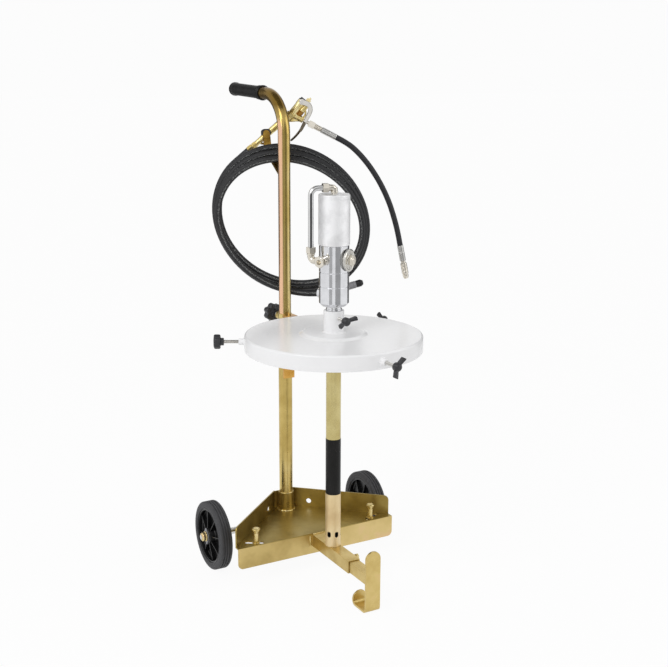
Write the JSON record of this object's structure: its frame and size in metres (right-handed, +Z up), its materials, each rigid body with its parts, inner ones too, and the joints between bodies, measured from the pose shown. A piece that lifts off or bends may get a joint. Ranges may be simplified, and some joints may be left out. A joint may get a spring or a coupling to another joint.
{
  "type": "pneumatic grease pump",
  "caption": "Air-operated grease pump on a two-wheel drum trolley, with a drum lid, a hanging hose coil and a grease control gun.",
  "frame": {"origin": "on the floor, under the middle of the object's box measured without the hoses", "axes": "+Z up; the foot points along -Y and the handle's grip along +Y; the axle lies along X"},
  "size_m": [0.5636, 0.7865, 1.1413],
  "materials": {
    "zinc_gold": "yellow zinc plating, satin",
    "tube_gold": "yellow zinc plating, glossy tube",
    "hook_gold": "deep yellow zinc plating",
    "arm_gold": "yellow zinc plating, satin",
    "foot_beige": "pale yellow zinc plating",
    "axle_steel": "plated bar",
    "nut_gold": "yellow zinc plating",
    "tyre": "dark grey rubber",
    "rim": "black moulding",
    "lid_white": "glossy white paint",
    "knob_black": "black moulding",
    "screw_steel": "bright plated",
    "cylinder_alu": "satin anodised",
    "valve_chrome": "nickel plated, polished",
    "fitting_nickel": "nickel plated",
    "coupling_black": "black paint",
    "hose_rubber": "black hose with a broken pale line",
    "ferrule_grey": "dark grey sleeve",
    "ferrule_steel": "bright plated",
    "gun_gold": "pale yellow zinc plating",
    "lever_silver": "bright plated",
    "piston_steel": "ground",
    "seal_rubber": "black seal",
    "grip_black": "soft black grip"
  },
  "bodies": {
    "trolley": {"tray": "zinc_gold", "pole_socket": "tube_gold", "lower_pole": "tube_gold", "drum_hook": "hook_gold", "outer_arm": "arm_gold", "axle": "axle_steel", "axle_ears": "zinc_gold", "axle_nuts": "nut_gold"},
    "left_wheel": {"left_tyre": "tyre", "left_rim": "rim"},
    "right_wheel": {"right_tyre": "tyre", "right_rim": "rim"},
    "left_stop": {"left_peg": "nut_gold"},
    "right_stop": {"right_peg": "nut_gold"},
    "front_arm": {"inner_arm": "arm_gold", "foot": "arm_gold"},
    "arm_lock": {"arm_bolt": "nut_gold"},
    "handle": {"upper_pole": "tube_gold", "grip": "grip_black", "hanger": "hook_gold", "supply_hose": "hose_rubber", "hose_ferrule": "ferrule_grey", "hose_cap": "knob_black", "gun_nut": "gun_gold", "gun_handle": "gun_gold", "gun_body": "gun_gold", "gun_cap": "knob_black", "lever_pin": "screw_steel", "outlet_swivel": "fitting_nickel", "whip_ferrules": "ferrule_steel", "whip_hose": "hose_rubber", "coupler": "ferrule_steel"},
    "gun_trigger": {"gun_lever": "lever_silver"},
    "pole_clamp": {"clamp_stud": "screw_steel", "clamp_knob": "knob_black"},
    "pump": {"motor_cylinder": "cylinder_alu", "cylinder_cap": "cylinder_alu", "valve_body": "valve_chrome", "pump_body": "valve_chrome", "suction_tube": "tube_gold", "tube_coupling": "coupling_black", "inlet_tube": "foot_beige", "air_fittings": "fitting_nickel", "transfer_pipe": "fitting_nickel", "exhaust_cover": "fitting_nickel", "silencer": "fitting_nickel", "rod_seal": "seal_rubber"},
    "piston": {"air_piston": "piston_steel", "piston_seal": "seal_rubber", "piston_rod": "piston_steel", "pump_piston": "piston_steel"},
    "drum_lid": {"lid": "lid_white"},
    "left_lid_clamp": {"left_lid_screw": "screw_steel", "left_lid_knob": "knob_black"},
    "front_lid_clamp": {"front_lid_screw": "screw_steel", "front_lid_knob": "knob_black"},
    "rear_lid_clamp": {"rear_lid_screw": "screw_steel", "rear_lid_knob": "knob_black"},
    "collar_clamp": {"collar_screw": "screw_steel", "collar_knob": "knob_black"}
  },
  "joints": [
    {"name": "left_wheel_spin", "type": "hinge", "parent": "trolley", "child": "left_wheel", "pos_m": [-0.213, 0.08145, 0.0825], "axis": [1, 0, 0], "continuous": true},
    {"name": "right_wheel_spin", "type": "hinge", "parent": "trolley", "child": "right_wheel", "pos_m": [0.213, 0.08145, 0.0825], "axis": [1, 0, 0], "continuous": true},
    {"name": "left_stop_slide", "type": "slide", "parent": "trolley", "child": "left_stop", "axis": [-0.866, 0.5, 0], "range_m": [-0.007, 0.02]},
    {"name": "right_stop_slide", "type": "slide", "parent": "trolley", "child": "right_stop", "axis": [0.866, 0.5, 0], "range_m": [-0.007, 0.02]},
    {"name": "arm_slide", "type": "slide", "parent": "trolley", "child": "front_arm", "axis": [0, -1, 0], "range_m": [-0.055, 0.06]},
    {"name": "arm_bolt_turn", "type": "hinge", "parent": "trolley", "child": "arm_lock", "pos_m": [0, -0.19156, 0.082], "axis": [1, 0, 0], "range_deg": [0, 360]},
    {"name": "handle_slide", "type": "slide", "parent": "trolley", "child": "handle", "axis": [0, 0, 1], "range_m": [-0.02, 0.2]},
    {"name": "trigger_squeeze", "type": "hinge", "parent": "handle", "child": "gun_trigger", "pos_m": [0.0826, 0.18157, 1.09873], "axis": [0.4695, 0.8829, 0], "range_deg": [0, 12], "stiffness_Nm_per_rad": 2, "springref_deg": -11.46},
    {"name": "pole_knob_turn", "type": "hinge", "parent": "trolley", "child": "pole_clamp", "pos_m": [0, 0.14194, 0.59], "axis": [0, 1, 0], "range_deg": [0, 360]},
    {"name": "pump_lift", "type": "slide", "parent": "trolley", "child": "pump", "axis": [0, 0, 1], "range_m": [0, 0.2]},
    {"name": "lid_slide", "type": "slide", "parent": "pump", "child": "drum_lid", "axis": [0, 0, 1], "range_m": [-0.235, 0]},
    {"name": "left_clamp_screw", "type": "slide", "parent": "drum_lid", "child": "left_lid_clamp", "axis": [-0.8829, 0.4695, 0], "range_m": [-0.028, 0.01]},
    {"name": "front_clamp_screw", "type": "slide", "parent": "drum_lid", "child": "front_lid_clamp", "axis": [0.0349, -0.9994, 0], "range_m": [-0.028, 0.01]},
    {"name": "rear_clamp_screw", "type": "slide", "parent": "drum_lid", "child": "rear_lid_clamp", "axis": [0.848, 0.5299, 0], "range_m": [-0.028, 0.01]},
    {"name": "collar_knob_turn", "type": "hinge", "parent": "drum_lid", "child": "collar_clamp", "pos_m": [0, -0.16806, 0.6395], "axis": [0, -1, 0], "range_deg": [0, 360]},
    {"name": "piston_stroke", "type": "slide", "parent": "pump", "child": "piston", "axis": [0, 0, 1], "range_m": [-0.025, 0.025]}
  ]
}
